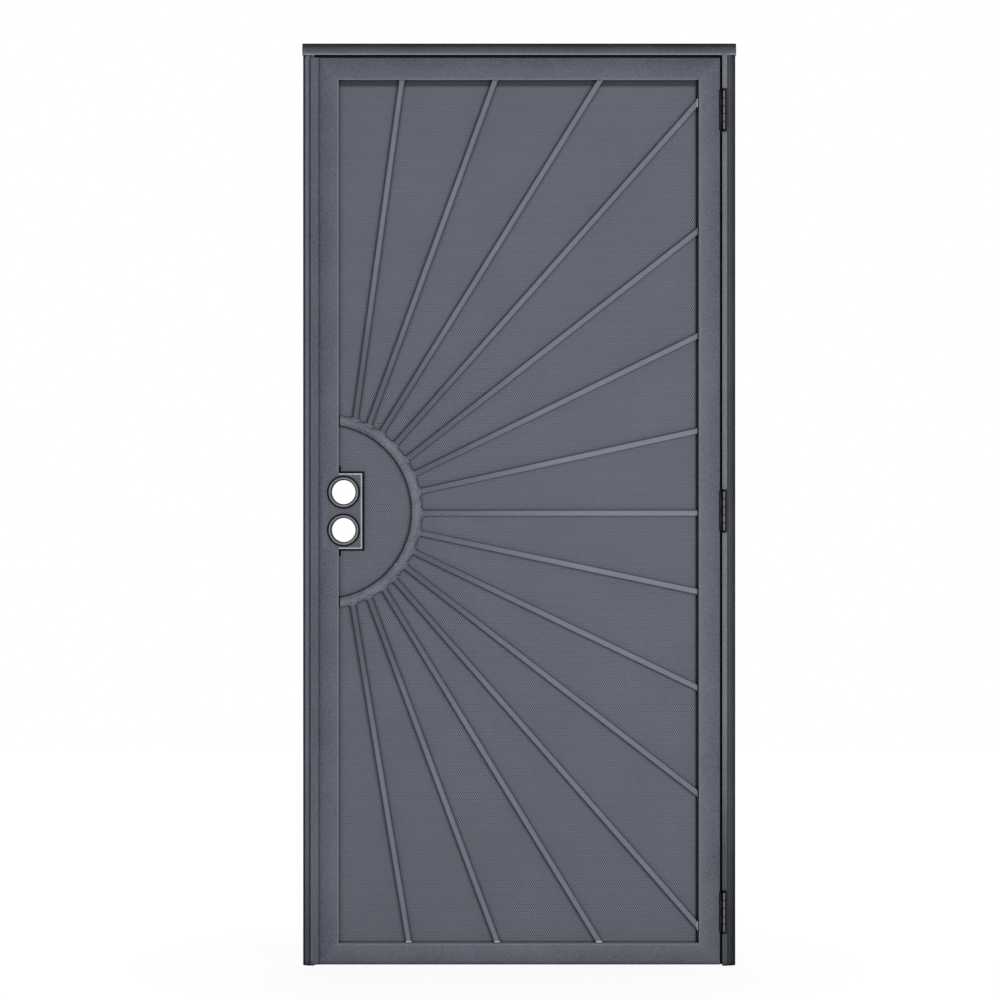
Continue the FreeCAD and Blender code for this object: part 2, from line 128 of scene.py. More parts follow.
def screenColour(red, green, blue):
    # a colour as it looks on a screen, 0 to 255, made linear
    def linear(level):
        share = level / 255
        return share / 12.92 if share <= 0.04045 else ((share + 0.055) / 1.055) ** 2.4
    return (linear(red), linear(green), linear(blue), 1.0)


def startMaterial(name):
    material = bpy.data.materials.new(name)
    material.use_nodes = True
    material.node_tree.nodes.clear()
    return material, Wire(material.node_tree)


def endMaterial(material, wire, sockets, steady):
    # sockets vary over the surface, steady ones are the same all over
    shader = wire.node("ShaderNodeBsdfPrincipled", {}, {**steady, **sockets})
    wire.node("ShaderNodeOutputMaterial", {}, {"Surface": shader})
    return material


def noise(wire, spot, scale, detail=2.0):
    return wire.node("ShaderNodeTexNoise", {}, {"Vector": spot, "Scale": scale, "Detail": detail})


def blend(wire, share, first, second):
    return wire.node("ShaderNodeMix", {"data_type": "RGBA"}, {0: share, 6: first, 7: second}, 2)


# Powder coat: sandy grain in colour, gloss and bump, a slow cloudiness, painted highlights along edges, and painted
# shade in the corners and between parts
leafLook = {
    "dark": (57, 61, 71), "light": (116, 120, 132), "grain": 420, "grainPull": 0.9, "cloud": 6, "cloudPull": 0.4,
    "sand": 1500, "grainHeight": 0.6, "sandHeight": 0.4, "depth": 0.00022, "bump": 0.6,
    "roughness": 0.8, "roughPull": 0.25, "specular": 0.03,
    "rubbed": (134, 137, 146), "rubbedReach": 0.0035, "rubbedPull": 0.8,
    "darkTone": (10, 11, 14), "shadeReach": 0.012, "shadePull": 1.6, "shadeSamples": 6,
}
# The tones below are one powder coat, made lighter or darker part by part as painted light and shade: lighter on the
# hinge side, lock box, collars, hinge strip, strike jamb, rays, ring and welds, and darker on the header, hinge jamb
# and hinges
stileLook = {**leafLook, "fade": 0.3}
hingeSideLook = {**stileLook, "dark": (64, 67, 76), "light": (123, 126, 136), "rubbed": (142, 145, 154),
                 "rubbedReach": 0.0062, "seat": 0.0028, "seatEnd": 0.002, "seatPull": 0.9, "innerLine": 0.003,
                 "innerDepth": 0.005, "lineSoft": 0.6, "railPull": 0.5, "stilePull": 0.35}
lockLook = {**leafLook, "dark": (64, 67, 75), "light": (120, 123, 132), "rubbed": (184, 187, 193),
            "rubbedReach": 0.0018, "rubbedPull": 1.0, "brightLine": 0.0032, "brightCore": 0.0006, "faceDepth": 0.002,
            "darkLine": 0.0016, "lineSoft": 0.6, "linePull": 0.8, "sideNear": 0.003, "sideFar": 0.01}
collarLook = {**leafLook, "dark": (66, 68, 74), "light": (122, 124, 130), "rubbed": (150, 152, 157),
              "rubbedReach": 0.0022, "brightRing": 0.0316, "darkRing": 0.0298, "ringSoft": 0.001, "ringPull": 0.7,
              "shadePull": 0.7}
headerLook = {**leafLook, "dark": (28, 30, 35), "light": (102, 105, 114), "fade": 0.95, "rubbed": (150, 153, 162),
              "rubbedReach": 0.0054}
stripLook = {**leafLook, "dark": (78, 81, 90), "light": (136, 139, 148), "footReach": 0.6, "footPull": 0.85}
strikeLook = {**leafLook, "dark": (76, 80, 90), "light": (134, 138, 150), "outerLine": 0.006, "outerSoft": 0.5,
              "noseNear": 0.011, "noseFar": 0.017, "lipLine": 0.0026, "lipSoft": 0.3, "lipPull": 0.75,
              "footReach": 0.6, "footPull": 0.5}
jambLook = {**leafLook, "dark": (38, 39, 42), "light": (94, 95, 99), "fade": 0.8, "footReach": 0.35, "footPull": 0.3}
seamLook = {**leafLook, "shadeReach": 0.005, "shadePull": 1.9}
grilleLook = {**seamLook, "dark": (90, 94, 105), "light": (127, 130, 143), "lift": 0.15, "fade": 0.75,
              "fadeNear": 0.2, "fadeFar": 0.62, "levelPull": 0.28, "levelNear": 0.15, "levelFar": 0.6,
              "edge": 0.003, "edgeSoft": 0.3, "edgePull": 0.46, "steepPower": 4}
ringLook = {**seamLook, "dark": (73, 77, 87), "light": (122, 126, 136), "grainPull": 1.8, "cloud": 22,
            "cloudPull": 1.3, "brightest": 0.58, "brightReach": 0.25, "fade": 0.9, "endLine": 0.0036,
            "innerLine": 0.0028, "lineSoft": 0.5, "linePull": 0.8}
hingeLook = {**leafLook, "dark": (10, 10, 12), "light": (30, 31, 34), "grainPull": 0.8, "roughness": 0.5,
             "specular": 0.1, "rubbed": (132, 133, 136), "rubbedReach": 0.0024, "rubbedPull": 1.0,
             "knuckleGap": 0.0024}
weldLook = {**seamLook, "dark": (100, 104, 112), "light": (146, 150, 158), "roughness": 0.35, "depth": 0.0001,
            "specular": 0.3}
# painted highlight: welds at some ray ends made much lighter, like light catching them
glintWeldLook = {**weldLook, "dark": (156, 159, 165), "light": (212, 214, 219), "shadePull": 0.2}


def coatParts(wire, look, spot, fade=None, rub=None, stain=None):
    grain = noise(wire, spot, look["grain"])
    sand = noise(wire, spot, look["sand"], detail=1.0)
    cloud = noise(wire, spot, look["cloud"], detail=3.0)
    share = 0.5 + (grain - 0.5) * look["grainPull"] + (cloud - 0.5) * look["cloudPull"]
    if fade:
        share = share + fade(wire, look, spot)
    colour = blend(wire, share, screenColour(*look["dark"]), screenColour(*look["light"]))
    # painted highlight along edges and lines, brighter with the grain
    if rub:
        highlit = rub(wire, look, spot) * (grain + 0.5) * look["rubbedPull"]
        colour = blend(wire, highlit, colour, screenColour(*look["rubbed"]))
    # painted shade in corners, creases and between parts from ambient occlusion, plus the dark marks passed in
    openness = wire.node("ShaderNodeAmbientOcclusion", {"samples": look["shadeSamples"]},
                         {"Distance": look["shadeReach"]}, "AO")
    darkening = (1 - openness) * look["shadePull"]
    if stain:
        darkening = darkening + stain(wire, look, spot)
    colour = blend(wire, darkening, colour, screenColour(*look["darkTone"]))
    rough = look["roughness"] + (grain - 0.5) * look["roughPull"]
    height = grain * look["grainHeight"] + sand * look["sandHeight"]
    return colour, rough, height


def powderCoat(name, look, **marks):
    material, wire = startMaterial(name)
    spot = wire.node("ShaderNodeTexCoord", {}, {}, "Object")
    colour, rough, height = coatParts(wire, look, spot, **marks)
    normal = wire.node("ShaderNodeBump", {}, {
        "Strength": look["bump"], "Distance": look["depth"], "Height": height})
    return endMaterial(material, wire, {"Base Color": colour, "Roughness": rough, "Normal": normal},
                       {"Specular IOR Level": look["specular"]})


# Places on the door, for the painted light and shade: fades, painted highlights along edges and dark lines at the
# gaps
def coordinate(wire, spot, axis):
    return wire.node("ShaderNodeSeparateXYZ", {}, {"Vector": spot}, axis)


def within(wire, distance, reach, soft=0.0):
    # 1 up to the soft edge, 0 from the reach on
    return wire.node("ShaderNodeMapRange", {"interpolation_type": "SMOOTHSTEP"}, {
        "Value": distance, "From Min": reach, "From Max": soft})


def fromOpening(wire, spot):
    # how far a point of the leaf's tubes lies outside the opening
    x, z = coordinate(wire, spot, "X"), coordinate(wire, spot, "Z")
    beside = wire.math("MAXIMUM", openLeft - x, x - openRight)
    return wire.math("MAXIMUM", beside, wire.math("MAXIMUM", openBottom - z, z - openTop))


# painted highlight along the edge of the opening
def stileHighlight(wire, look, spot):
    return within(wire, fromOpening(wire, spot), look["rubbedReach"])


def stileFade(wire, look, spot):
    # painted light and shade: lightest along the opening, darker towards the outside
    return (0.5 - fromOpening(wire, spot) / stileFace) * look["fade"]


def fromBoxEdge(wire, spot):
    # how far a point of the lock box lies inside the edges that stand clear of the stile
    x, z = coordinate(wire, spot, "X"), coordinate(wire, spot, "Z")
    return wire.math("MINIMUM", boxHigh.x - x, (boxHigh.z - lockMiddle) - wire.math("ABSOLUTE", z - lockMiddle))


def boxReach(wire, spot):
    return wire.math("GREATER_THAN", coordinate(wire, spot, "X"), openLeft)


def lockHighlight(wire, look, spot):
    # painted highlight: a bright line just inside the edge of the front
    aside = wire.math("ABSOLUTE", fromBoxEdge(wire, spot) - look["brightLine"])
    line = within(wire, aside, look["rubbedReach"], look["brightCore"])
    face = within(wire, coordinate(wire, spot, "Y") - boxLow.y, look["faceDepth"])
    return line * face * boxReach(wire, spot)


def lockEdge(wire, look, spot):
    # painted shade on the rounded edge itself, dark all the way round, and lighter down the sides
    edge = within(wire, fromBoxEdge(wire, spot), look["darkLine"], look["darkLine"] * look["lineSoft"])
    front = within(wire, coordinate(wire, spot, "Y") - boxLow.y, look["sideFar"], look["sideNear"])
    return edge * boxReach(wire, spot) * front * look["linePull"]


def lockBoxShadow(wire, look, spot):
    # painted shadow round the lock box, and in short dashes beside it along the stile
    x, z = coordinate(wire, spot, "X"), coordinate(wire, spot, "Z")
    rise = wire.math("ABSOLUTE", z - lockMiddle) - (boxHigh.z - lockMiddle)
    gap = within(wire, wire.math("MAXIMUM", x - boxHigh.x, rise), look["gap"], look["gap"] * look["gapSoft"])
    beside = wire.math("MAXIMUM", x - openLeft - look["gap"], rise - look["dash"])
    dash = within(wire, beside, look["dashEdge"])
    return wire.math("MAXIMUM", gap, dash)


def sheetShade(wire, look, spot):
    # painted shadow round the lock box, and painted shadows under the top rail and beside the hinge stile
    fromTop = openTop - coordinate(wire, spot, "Z")
    fromSide = openRight - coordinate(wire, spot, "X")
    under = within(wire, fromTop, look["topShade"], look["topShade"] * look["shadeSoft"])
    beside = within(wire, fromSide, look["sideShade"], look["sideShade"] * look["shadeSoft"])
    shade = wire.math("MAXIMUM", under * look["topPull"], beside * look["sidePull"])
    return wire.math("MAXIMUM", lockBoxShadow(wire, look, spot), shade)


def fromBore(wire, spot):
    # distance from the axis of the nearer lock bore
    u = coordinate(wire, spot, "X") - boreLine
    v = wire.math("ABSOLUTE", coordinate(wire, spot, "Z") - lockMiddle) - boreRise
    return wire.math("SQRT", u * u + v * v)


# painted highlight: a bright ring across the collar's face
def collarHighlight(wire, look, spot):
    return within(wire, wire.math("ABSOLUTE", fromBore(wire, spot) - look["brightRing"]), look["rubbedReach"])


# painted shade along the collar's inner edge by the bore
def collarShade(wire, look, spot):
    ring = within(wire, fromBore(wire, spot), look["darkRing"], look["darkRing"] - look["ringSoft"])
    return ring * look["ringPull"]


def fromRingCentre(wire, spot):
    u = coordinate(wire, spot, "X") - ringCentre.x
    v = coordinate(wire, spot, "Z") - ringCentre.y
    return wire.math("SQRT", u * u + v * v)


def rayFade(wire, look, spot):
    # painted light and shade: the rays are no lighter than the sheet at the ring, lighter farther out, and lightest
    # where they run level
    reach = fromRingCentre(wire, spot)
    steep = wire.math("ABSOLUTE", coordinate(wire, spot, "Z") - ringCentre.y) / reach
    nearRing = within(wire, reach, look["fadeFar"], look["fadeNear"]) * look["fade"]
    level = within(wire, steep, look["levelFar"], look["levelNear"]) * look["levelPull"]
    return level + look["lift"] - nearRing


def rayEdges(wire, look, spot):
    # painted shade along the left edge of every ray, and along the right edge of the steep ones
    x, z = coordinate(wire, spot, "X") - hub.x, coordinate(wire, spot, "Z") - hub.y
    shade = 0.0
    for tilt, slide in sunburst["rays"]:
        angle = math.radians(tilt)
        leftward = math.copysign(1, tilt)
        aside = (z * math.cos(angle) - x * math.sin(angle) - slide / 1000) * leftward
        for sign, pull in ((1, 1.0), (-1, abs(math.sin(angle)) ** look["steepPower"])):
            line = wire.math("ABSOLUTE", aside - sign * rayHalf)
            dark = within(wire, line, look["edge"], look["edge"] * look["edgeSoft"]) * pull
            shade = wire.math("MAXIMUM", shade, dark)
    return shade * look["edgePull"]


def ringFade(wire, look, spot):
    # painted light and shade: lightest a little outside the middle of the ring's face, darker at both edges
    share = (fromRingCentre(wire, spot) - ringInner) / (ringOuter - ringInner)
    return (look["brightReach"] - wire.math("ABSOLUTE", share - look["brightest"])) * look["fade"]


def ringLines(wire, look, spot):
    # painted shade where the ring meets the lock stile, and along its inner edge
    fromStile = coordinate(wire, spot, "X") - openLeft
    fromInner = fromRingCentre(wire, spot) - ringInner
    ends = within(wire, fromStile, look["endLine"], look["endLine"] * look["lineSoft"])
    inner = within(wire, fromInner, look["innerLine"], look["innerLine"] * look["lineSoft"])
    return wire.math("MAXIMUM", ends, inner) * look["linePull"]


# painted highlight along the foot of the header
def headerHighlight(wire, look, spot):
    return within(wire, coordinate(wire, spot, "Z") - headerFoot, look["rubbedReach"])


def headerFade(wire, look, spot):
    # painted shade, darker towards the rounded top
    return (0.5 - (coordinate(wire, spot, "Z") - headerFoot) / (headerTop - headerFoot)) * look["fade"]


def footFade(wire, look, spot):
    # darker towards the floor
    return within(wire, coordinate(wire, spot, "Z"), look["footReach"]) * -look["footPull"]


def jambFade(wire, look, spot):
    # painted shade darker towards the rounded outside, and darker towards the floor
    across = (coordinate(wire, spot, "X") - jambEdge) / (jambOutside - jambEdge)
    return (0.5 - across) * look["fade"] + footFade(wire, look, spot)


def barrelHighlight(wire, look, spot):
    # painted highlight: a bright line down the front of the barrels
    return within(wire, wire.math("ABSOLUTE", coordinate(wire, spot, "X") - pinLine), look["rubbedReach"])


def barrelTurn(wire, spot):
    # height up whichever hinge is nearest, in knuckles
    z = coordinate(wire, spot, "Z")
    foot = barrels[0][0]
    for below, above in zip(barrels, barrels[1:]):
        foot = wire.math("GREATER_THAN", z, (below[1] + above[0]) / 2) * (above[0] - below[0]) + foot
    return (z - foot) / knuckleStep


def pastBarrel(wire, spot):
    # metres above or below the knuckles
    return (wire.math("ABSOLUTE", barrelTurn(wire, spot) - knuckles / 2) - knuckles / 2) * knuckleStep


def knuckleGaps(wire, look, spot):
    # dark joints between the knuckles, and dark pin heads
    turn = barrelTurn(wire, spot)
    joint = wire.math("ABSOLUTE", turn - wire.math("ROUND", turn)) * knuckleStep
    return within(wire, wire.math("MINIMUM", joint, -1.0 * pastBarrel(wire, spot)), look["knuckleGap"])


def hingeSeat(wire, look, spot):
    # painted shade on the edge of the stile beside each hinge
    edge = within(wire, leafEdge - coordinate(wire, spot, "X"), look["seat"], look["seat"] * look["lineSoft"])
    return edge * within(wire, pastBarrel(wire, spot), look["seatEnd"]) * look["seatPull"]


def hingeSideLines(wire, look, spot):
    # painted shade at the seats of the hinges, and along the edge of the front beside the opening, darkest on the
    # stile
    inner = within(wire, fromOpening(wire, spot), look["innerLine"], look["innerLine"] * look["lineSoft"])
    face = within(wire, coordinate(wire, spot, "Y") - leafFront, look["innerDepth"])
    onStile = wire.math("GREATER_THAN", coordinate(wire, spot, "X"), openRight)
    edge = inner * face * (onStile * look["stilePull"] + look["railPull"])
    return wire.math("MAXIMUM", hingeSeat(wire, look, spot), edge)


def strikeLines(wire, look, spot):
    # painted shade on the outer edge of the strike jamb's rounded front, and a painted shadow line under the edge of
    # the lip
    x = coordinate(wire, spot, "X")
    nose = within(wire, coordinate(wire, spot, "Y") - strikeFront, look["noseFar"], look["noseNear"])
    fromLip = wire.math("ABSOLUTE", x - lipEdge)
    outer = within(wire, x - strikeOutside, look["outerLine"], look["outerLine"] * look["outerSoft"])
    under = within(wire, fromLip, look["lipLine"], look["lipLine"] * look["lipSoft"])
    return wire.math("MAXIMUM", outer * nose, under * look["lipPull"])


# Perforated sheet: round holes on staggered centres, painted dark inside as painted shade
sheetLook = {
    **leafLook, "dark": (97, 101, 112), "light": (127, 131, 142), "grainPull": 0.6, "bump": 0.5,
    "shadeReach": 0.004, "shadePull": 0.9,
    "pitch": 0.00476, "holeRadius": 0.0016, "holeEdge": 0.00018, "hole": (76, 79, 86), "rim": 0.0005, "rimBump": 0.4,
    "gap": 0.0036, "gapSoft": 0.7, "dash": 0.015, "dashEdge": 0.001,
    "topShade": 0.0165, "topPull": 0.62, "sideShade": 0.0062, "sidePull": 0.8, "shadeSoft": 0.6,
}


def holeDistance(wire, x, z, pitch, stagger):
    # distance to the nearest hole centre of one of the two square-on lattices
    row = pitch * math.sqrt(3)
    u = x / pitch + stagger
    v = z / row + stagger
    offU = (u - wire.math("ROUND", u)) * pitch
    offV = (v - wire.math("ROUND", v)) * row
    return wire.math("SQRT", offU * offU + offV * offV)


def perforatedCoat(name, look):
    material, wire = startMaterial(name)
    spot = wire.node("ShaderNodeTexCoord", {}, {}, "Object")
    colour, rough, height = coatParts(wire, look, spot)
    x, z = coordinate(wire, spot, "X"), coordinate(wire, spot, "Z")
    near = wire.math("MINIMUM", *[holeDistance(wire, x, z, look["pitch"], stagger) for stagger in (0.0, 0.5)])
    land = wire.node("ShaderNodeMapRange", {"interpolation_type": "SMOOTHSTEP"}, {
        "Value": near, "From Min": look["holeRadius"] - look["holeEdge"],
        "From Max": look["holeRadius"] + look["holeEdge"]})
    holed = blend(wire, land, screenColour(*look["hole"]), colour)
    shown = blend(wire, sheetShade(wire, look, spot), holed, screenColour(*look["darkTone"]))
    relief = wire.node("ShaderNodeBump", {}, {
        "Strength": look["rimBump"], "Distance": look["rim"], "Height": land})
    normal = wire.node("ShaderNodeBump", {}, {
        "Strength": look["bump"], "Distance": look["depth"], "Height": height, "Normal": relief})
    return endMaterial(material, wire, {"Base Color": shown, "Roughness": rough, "Normal": normal},
                       {"Specular IOR Level": look["specular"]})


# Rubber of the seals round the lock collars
rubberLook = {"dark": (10, 10, 12), "light": (24, 24, 27), "grain": 900, "roughness": 0.8, "depth": 0.00008,
              "bump": 0.4, "specular": 0.08}


def sealRubber(name, look):
    material, wire = startMaterial(name)
    spot = wire.node("ShaderNodeTexCoord", {}, {}, "Object")
    grain = noise(wire, spot, look["grain"])
    colour = blend(wire, grain, screenColour(*look["dark"]), screenColour(*look["light"]))
    normal = wire.node("ShaderNodeBump", {}, {
        "Strength": look["bump"], "Distance": look["depth"], "Height": grain})
    return endMaterial(material, wire, {"Base Color": colour, "Normal": normal},
                       {"Roughness": look["roughness"], "Specular IOR Level": look["specular"]})


leafCoat = powderCoat("leafCoat", leafLook)
stileCoat = powderCoat("stileCoat", stileLook, fade=stileFade, rub=stileHighlight)
hingeSideCoat = powderCoat("hingeSideCoat", hingeSideLook, fade=stileFade, rub=stileHighlight, stain=hingeSideLines)
lockCoat = powderCoat("lockCoat", lockLook, rub=lockHighlight, stain=lockEdge)
collarCoat = powderCoat("collarCoat", collarLook, rub=collarHighlight, stain=collarShade)
stripCoat = powderCoat("stripCoat", stripLook, fade=footFade)
strikeCoat = powderCoat("strikeCoat", strikeLook, fade=footFade, stain=strikeLines)
jambCoat = powderCoat("jambCoat", jambLook, fade=jambFade)
headerCoat = powderCoat("headerCoat", headerLook, fade=headerFade, rub=headerHighlight)
grilleCoat = powderCoat("grilleCoat", grilleLook, fade=rayFade, stain=rayEdges)
ringCoat = powderCoat("ringCoat", ringLook, fade=ringFade, stain=ringLines)
hingeCoat = powderCoat("hingeCoat", hingeLook, rub=barrelHighlight, stain=knuckleGaps)
weldCoat = powderCoat("weldCoat", weldLook)
glintWeldCoat = powderCoat("glintWeldCoat", glintWeldLook)
sheetCoat = perforatedCoat("sheetCoat", sheetLook)
gasketRubber = sealRubber("gasketRubber", rubberLook)
print("finishes made")


# Finishes of the frame's own pieces
def coatFor(name):
    if name.startswith("ray_"):
        return grilleCoat
    if "_hinge_" in name:
        return hingeCoat
    if name in ("hinge_stile", "bottom_rail"):
        return hingeSideCoat
    if name in ("lock_stile", "top_rail"):
        return stileCoat
    if name.endswith("_collars"):
        return collarCoat
    special = {"header": headerCoat, "hinge_jamb": jambCoat, "strike_jamb": strikeCoat,
               "hinge_strip": stripCoat, "lock_box": lockCoat, "sun_ring": ringCoat, "perforated_sheet": sheetCoat,
               "lock_gaskets": gasketRubber}
    return special.get(name, leafCoat)


for name, piece in nodes.items():
    piece.data.materials.clear()
    piece.data.materials.append(coatFor(name))
print("frame pieces painted")


def pickOnly(piece):
    bpy.ops.object.select_all(action="DESELECT")
    piece.select_set(True)
    bpy.context.view_layer.objects.active = piece


def applyModifier(piece, kind, **settings):
    pickOnly(piece)
    modifier = piece.modifiers.new(kind.title(), kind)
    for name, value in settings.items():
        setattr(modifier, name, value)
    bpy.ops.object.modifier_apply(modifier=modifier.name)


def editMode(on):
    bpy.ops.object.mode_set(mode="EDIT" if on else "OBJECT")


def copyAt(master, matrix):
    # a copy with its own mesh, put in place inside the mesh
    twin = master.copy()
    twin.data = master.data.copy()
    bpy.context.scene.collection.objects.link(twin)
    twin.data.transform(matrix)
    return twin


def joinAs(name, copies, body, coat):
    bpy.ops.object.select_all(action="DESELECT")
    for twin in copies:
        twin.select_set(True)
    bpy.context.view_layer.objects.active = copies[0]
    bpy.ops.object.join()
    piece = bpy.context.object
    piece.name = name
    piece.data.materials.clear()
    piece.data.materials.append(coat)
    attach(piece, body)
    return piece


def axes(place, along, out, stretch=1.0):
    # local X runs along the bead, local Z stands out of the metal
    side = out.cross(along)
    turn = Matrix((along, side, out)).transposed().to_4x4()
    return Matrix.Translation(place) @ turn @ Matrix.Diagonal((stretch, 1.0, 1.0, 1.0))


# Weld beads: a rippled run laid over a seam, and a fillet that fills a corner
beadShape = {"length": 0.0135, "width": 0.0052, "height": 0.0026, "segments": 12, "rings": 16,
             "ripple": 0.86, "lump": 0.0003, "seed": 3, "lumpAlong": 0.7}
filletShape = {"radius": 0.0034, "length": 0.0116, "sides": 12, "bevel": 0.0018, "bevelSteps": 3,
               "lump": 0.0004, "seed": 8, "lumpAlong": 0.7}


def makeBead(shape):
    bpy.ops.object.select_all(action="DESELECT")
    bpy.ops.mesh.primitive_uv_sphere_add(
        segments=shape["segments"], ring_count=shape["rings"], radius=0.5, rotation=(0, math.pi / 2, 0),
        scale=(shape["height"], shape["width"], shape["length"]))
    bead = bpy.context.object
    bpy.ops.object.transform_apply(location=True, rotation=True, scale=True)
    step = math.pi / shape["rings"]
    for ring in range(2, shape["rings"] - 1, 2):    # every other ring is drawn in, like a stack of coins
        level = math.cos(ring * step) * shape["length"] / 2
        for vertex in bead.data.vertices:
            vertex.select = abs(vertex.co.x - level) < shape["length"] * 0.001
        editMode(True)
        bpy.ops.transform.resize(value=(1, shape["ripple"], shape["ripple"]))
        bpy.ops.mesh.select_all(action="DESELECT")
        editMode(False)
    editMode(True)
    bpy.ops.mesh.select_all(action="SELECT")
    bpy.ops.transform.vertex_random(offset=shape["lump"], normal=shape["lumpAlong"], seed=shape["seed"])
    editMode(False)
    applyModifier(bead, "SUBSURF", levels=1, render_levels=1)
    bpy.ops.object.shade_smooth()
    return bead


def makeFillet(shape):
    bpy.ops.object.select_all(action="DESELECT")
    bpy.ops.mesh.primitive_cylinder_add(
        vertices=shape["sides"], radius=shape["radius"], depth=shape["length"], rotation=(math.pi / 2, 0, 0))
    fillet = bpy.context.object
    bpy.ops.object.transform_apply(location=True, rotation=True, scale=True)
    editMode(True)
    bpy.ops.mesh.select_all(action="SELECT")
    bpy.ops.mesh.bevel(offset=shape["bevel"], segments=shape["bevelSteps"])
    bpy.ops.transform.vertex_random(offset=shape["lump"], normal=shape["lumpAlong"], seed=shape["seed"])
    editMode(False)
    applyModifier(fillet, "SUBSURF", levels=1, render_levels=1)
    bpy.ops.object.shade_smooth()
    return fillet


bead = makeBead(beadShape)
fillet = makeFillet(filletShape)

# Sunburst joints: each ray is welded to the ring and to the leaf's frame
sunburstWelds = {"beadRise": 0.0004, "endRise": 0.0012, "endShift": 0.0016, "glintRays": (4, 12, 13, 14, 15)}
front = Vector((0, -1, 0))
upright = Vector((0, 0, 1))
level = Vector((1, 0, 0))
barMiddle = (barFront + barBack) / 2
beadLevel = barFront - sunburstWelds["beadRise"] + beadShape["height"] / 2
endLevel = barFront - sunburstWelds["endRise"] + beadShape["height"] / 2


def toRing(start, way):
    # where a line from the hub crosses the ring's outer edge
    offset = start - ringCentre
    reach = offset.dot(way)
    return start + way * (math.sqrt(reach * reach - offset.length_squared + ringOuter ** 2) - reach)


def toFrame(start, way):
    # where a line meets the inside of the leaf's frame, and which way that wall runs
    walls = [((openRight - start.x) / way.x, upright)]
    if abs(way.y) > 1e-6:
        wall = openTop if way.y > 0 else openBottom
        walls.append(((wall - start.y) / way.y, level))
    reach, run = min(walls, key=lambda found: found[0])
    return start + way * reach, run


def inDoor(point, depth):
    return Vector((point.x, depth, point.y))


ringWelds = []
endWelds = []
glintWelds = []
for number, (tilt, slide) in enumerate(sunburst["rays"], 1):
    angle = math.radians(tilt)
    way = Vector((math.cos(angle), math.sin(angle)))
    side = Vector((-way.y, way.x))
    middle = hub + side * (slide / 1000)
    for sign in (-1, 1):
        start = middle + side * (sign * rayHalf)
        ringWelds.append(copyAt(fillet, Matrix.Translation(inDoor(toRing(start, way), barMiddle))))
    joint = toRing(middle, way)
    run = (joint - ringCentre).normalized()
    ringWelds.append(copyAt(bead, axes(inDoor(joint, beadLevel), Vector((-run.y, 0, run.x)), front)))
    end, wall = toFrame(middle, way)
    slant = abs(way.x if wall is upright else way.y)
    end -= way * sunburstWelds["endShift"]
    # the welds with the painted highlight go on the ends of the rays listed above
    welds = glintWelds if number in sunburstWelds["glintRays"] else endWelds
    welds.append(copyAt(bead, axes(inDoor(end, endLevel), wall, front, 1 / slant)))
joinAs("sunburstRingWelds", ringWelds, "leaf", weldCoat)
joinAs("sunburstEndWelds", endWelds, "leaf", weldCoat)
joinAs("sunburstGlintWelds", glintWelds, "leaf", glintWeldCoat)
print("sunburst welds laid")

# Hinge welds: short runs along the back edge of each hinge plate
hingeRuns = {"spread": 0.026, "stretch": 1.9, "stand": 0.0012}
leafRuns = []
frameRuns = []
for label in hingeNames:
    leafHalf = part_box(label + "_hinge_leaf_half")
    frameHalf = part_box(label + "_hinge_frame_half")
    middle = (leafHalf[0].z + leafHalf[1].z) / 2
    for sign in (-1, 1):
        z = middle + sign * hingeRuns["spread"]
        place = Vector((leafEdge + hingeRuns["stand"], leafHalf[1].y, z))
        leafRuns.append(copyAt(bead, axes(place, upright, level, hingeRuns["stretch"])))
        place = Vector((jambEdge - hingeRuns["stand"], frameHalf[1].y, z))
        frameRuns.append(copyAt(bead, axes(place, upright, -level, hingeRuns["stretch"])))
joinAs("hingeLeafWelds", leafRuns, "leaf", leafCoat)
joinAs("hingeJambWelds", frameRuns, "frame", leafCoat)
print("hinge welds laid")

# Lock box welds: a run round the box, behind the sheet
lockRuns = {"step": 0.0145, "stretch": 1.9}
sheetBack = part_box("perforated_sheet")[1].y
behind = Vector((0, 1, 0))
lockWelds = []


def weldLine(start, end):
    count = math.ceil((end - start).length / lockRuns["step"])
    for number in range(count):
        place = start.lerp(end, (number + 0.5) / count)
        lockWelds.append(copyAt(bead, axes(place, (end - start).normalized(), behind, lockRuns["stretch"])))


lowCorner = Vector((boxHigh.x, sheetBack, boxLow.z))
highCorner = Vector((boxHigh.x, sheetBack, boxHigh.z))
toStile = Vector((openLeft - boxHigh.x, 0, 0))
weldLine(lowCorner, highCorner)
weldLine(lowCorner, lowCorner + toStile)
weldLine(highCorner, highCorner + toStile)
joinAs("lockBoxWelds", lockWelds, "leaf", leafCoat)
for master in (bead, fillet):
    bpy.data.objects.remove(master)
print("lock box welds laid")

# Screws that hold the flat bars behind the sheet
screwShape = {"radius": 0.0041, "height": 0.0026, "bevel": 0.0014, "bevelSteps": 4, "bevelBulge": 0.55,
              "recess": 0.0046, "slot": 0.0011, "depth": 0.0013, "sides": 24, "smoothAngle": 40,
              "across": 4, "tall": 7, "short": 3, "margin": 0.04}


